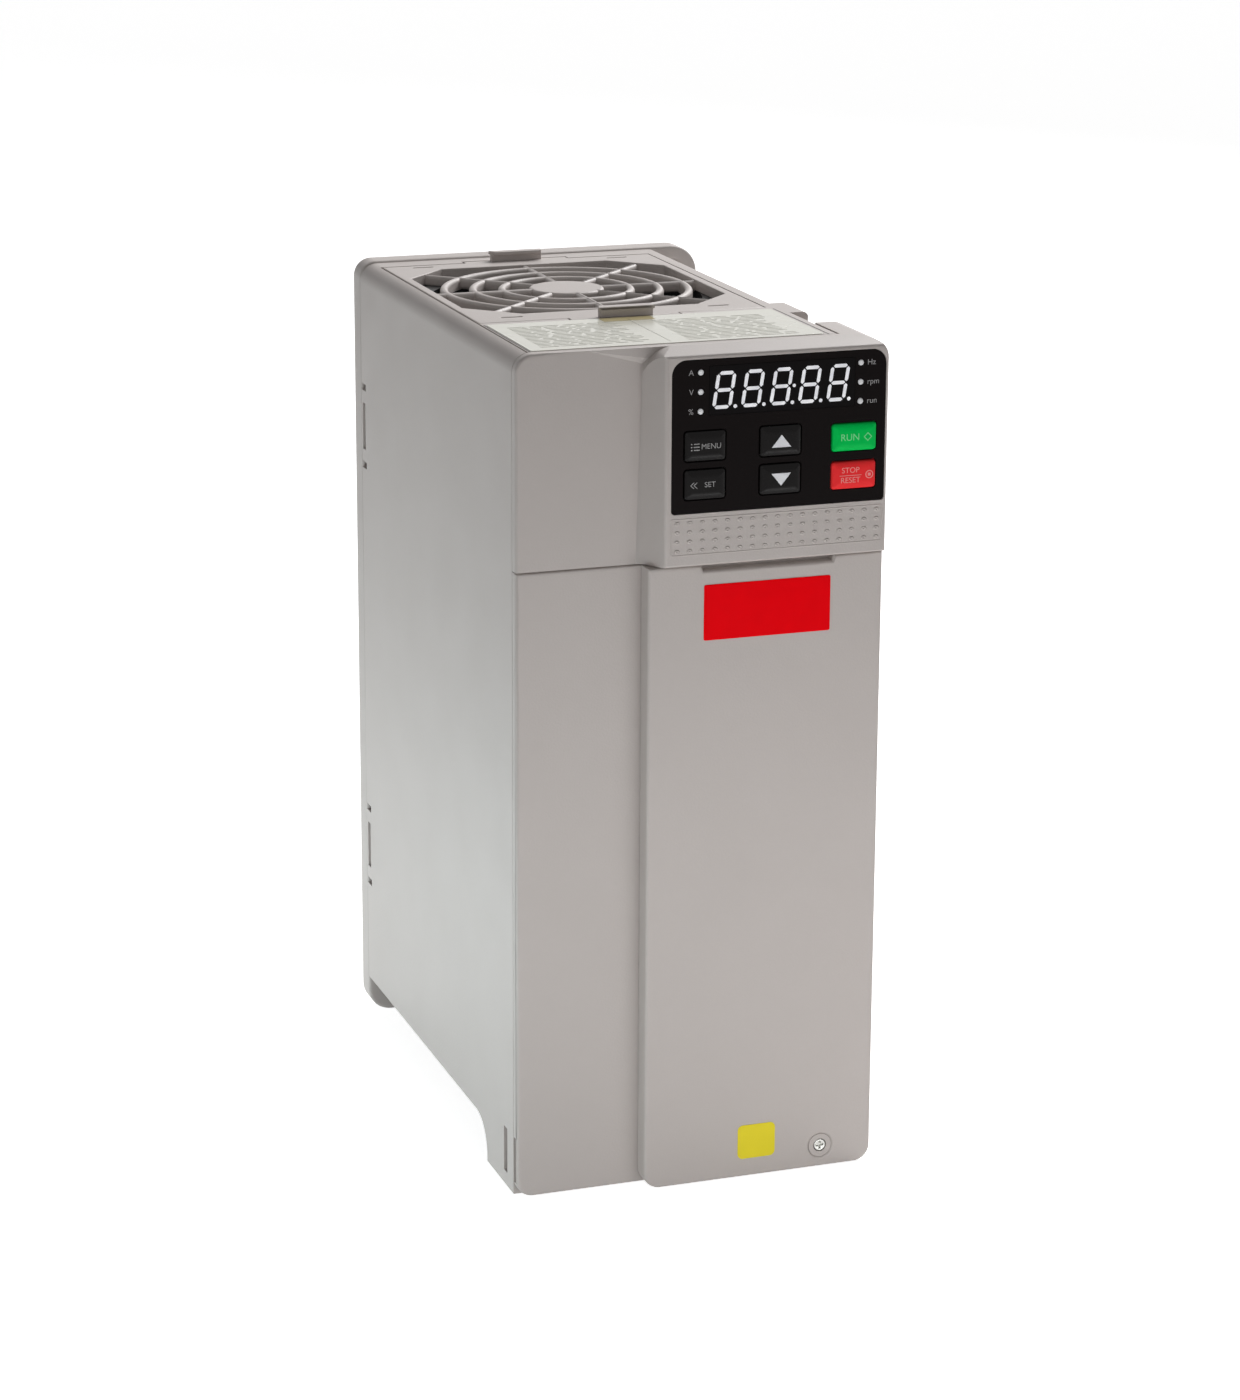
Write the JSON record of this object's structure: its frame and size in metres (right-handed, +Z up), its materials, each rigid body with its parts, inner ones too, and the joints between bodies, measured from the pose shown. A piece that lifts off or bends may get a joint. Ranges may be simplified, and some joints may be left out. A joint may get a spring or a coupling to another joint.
{
  "type": "variable frequency drive",
  "caption": "Tall book-shaped motor drive with a raised keypad and display, a swinging terminal cover, a lift-out fan tray on top and a wall plate behind.",
  "frame": {"origin": "centre of the four wall holes, on the back face of the wall plate", "axes": "+Z up along the case, +Y backwards into the wall, +X to the right as seen from the front"},
  "size_m": [0.104, 0.1629, 0.2329],
  "materials": {
    "case_plastic": "fine satin moulding grain",
    "panel_black": "smooth satin black",
    "display_smoke": "clear gloss over black",
    "key_black": "soft gloss",
    "key_green": "soft gloss",
    "key_red": "soft gloss",
    "led_white": "clear lens",
    "label_red": "printed film",
    "label_cream": "printed film, glossy",
    "label_yellow": "printed film",
    "rubber_black": "matt",
    "fan_black": "matt",
    "aluminium": "extruded",
    "steel_zinc": "zinc plated",
    "brass": "turned",
    "board_green": "solder mask",
    "moulded_black": "glass filled",
    "capacitor_blue": "shrink sleeve",
    "copper_enamel": "enamelled winding",
    "relay_blue": "moulded",
    "terminal_green": "moulded",
    "connector_cream": "moulded",
    "tray_grey": "moulded",
    "ribbon_grey": "flat cable"
  },
  "bodies": {
    "case": {"housing": "case_plastic", "back_plate": "case_plastic", "upper_shell": "case_plastic", "lower_shell": "case_plastic", "cable_plate": "case_plastic", "cable_grommets": "rubber_black", "rating_label": "label_cream", "fan_socket": "connector_cream", "heatsink": "aluminium", "power_module": "moulded_black", "rectifier": "moulded_black", "module_screws": "steel_zinc", "power_board": "board_green", "board_spacers": "brass", "board_screws": "steel_zinc", "dc_capacitors": "capacitor_blue", "filter_choke": "copper_enamel", "bypass_relay": "relay_blue", "power_terminals": "moulded_black", "power_terminal_screws": "steel_zinc", "earth_bar": "steel_zinc", "earth_screws": "steel_zinc", "inner_tray": "tray_grey", "control_board": "board_green", "control_spacers": "brass", "control_screws": "steel_zinc", "control_terminals": "terminal_green", "control_terminal_screws": "steel_zinc", "comms_jack": "moulded_black", "processor": "moulded_black", "board_link": "moulded_black", "keypad_panel": "panel_black", "display_window": "display_smoke", "display_module": "moulded_black", "indicator_leds": "led_white", "keypad_board": "board_green", "keypad_screws": "steel_zinc", "key_switches": "moulded_black", "ribbon_connectors": "connector_cream", "ribbon_cable": "ribbon_grey"},
    "cover": {"terminal_cover": "case_plastic", "front_label": "label_red", "plain_sticker": "label_yellow"},
    "screw": {"cover_screw": "steel_zinc"},
    "fan_tray": {"fan_cover": "case_plastic", "fan_frame": "fan_black", "fan_plug": "connector_cream"},
    "impeller": {"fan_impeller": "fan_black"},
    "key_menu": {"key_menu": "key_black"},
    "key_select": {"key_select": "key_black"},
    "key_up": {"key_up": "key_black"},
    "key_down": {"key_down": "key_black"},
    "key_run": {"key_run": "key_green"},
    "key_stop": {"key_stop": "key_red"}
  },
  "joints": [
    {"name": "cover_swing", "type": "hinge", "parent": "case", "child": "cover", "pos_m": [0, -0.1607, 0.0577], "axis": [-1, 0, 0], "range_deg": [0, 35]},
    {"name": "cover_screw_turn", "type": "hinge", "parent": "cover", "child": "screw", "pos_m": [0.0333, -0.1607, -0.1089], "axis": [0, 1, 0], "continuous": true},
    {"name": "fan_tray_lift", "type": "slide", "parent": "case", "child": "fan_tray", "axis": [0, 0, 1], "range_m": [0, 0.04]},
    {"name": "fan_spin", "type": "hinge", "parent": "fan_tray", "child": "impeller", "pos_m": [-0.007, -0.0604, 0.1], "axis": [0, 0, 1], "continuous": true},
    {"name": "key_menu_press", "type": "slide", "parent": "case", "child": "key_menu", "axis": [0, 1, 0], "range_m": [0, 0.0008], "stiffness_N_per_m": 600},
    {"name": "key_select_press", "type": "slide", "parent": "case", "child": "key_select", "axis": [0, 1, 0], "range_m": [0, 0.0008], "stiffness_N_per_m": 600},
    {"name": "key_up_press", "type": "slide", "parent": "case", "child": "key_up", "axis": [0, 1, 0], "range_m": [0, 0.0008], "stiffness_N_per_m": 600},
    {"name": "key_down_press", "type": "slide", "parent": "case", "child": "key_down", "axis": [0, 1, 0], "range_m": [0, 0.0008], "stiffness_N_per_m": 600},
    {"name": "key_run_press", "type": "slide", "parent": "case", "child": "key_run", "axis": [0, 1, 0], "range_m": [0, 0.0008], "stiffness_N_per_m": 600},
    {"name": "key_stop_press", "type": "slide", "parent": "case", "child": "key_stop", "axis": [0, 1, 0], "range_m": [0, 0.0008], "stiffness_N_per_m": 600}
  ]
}
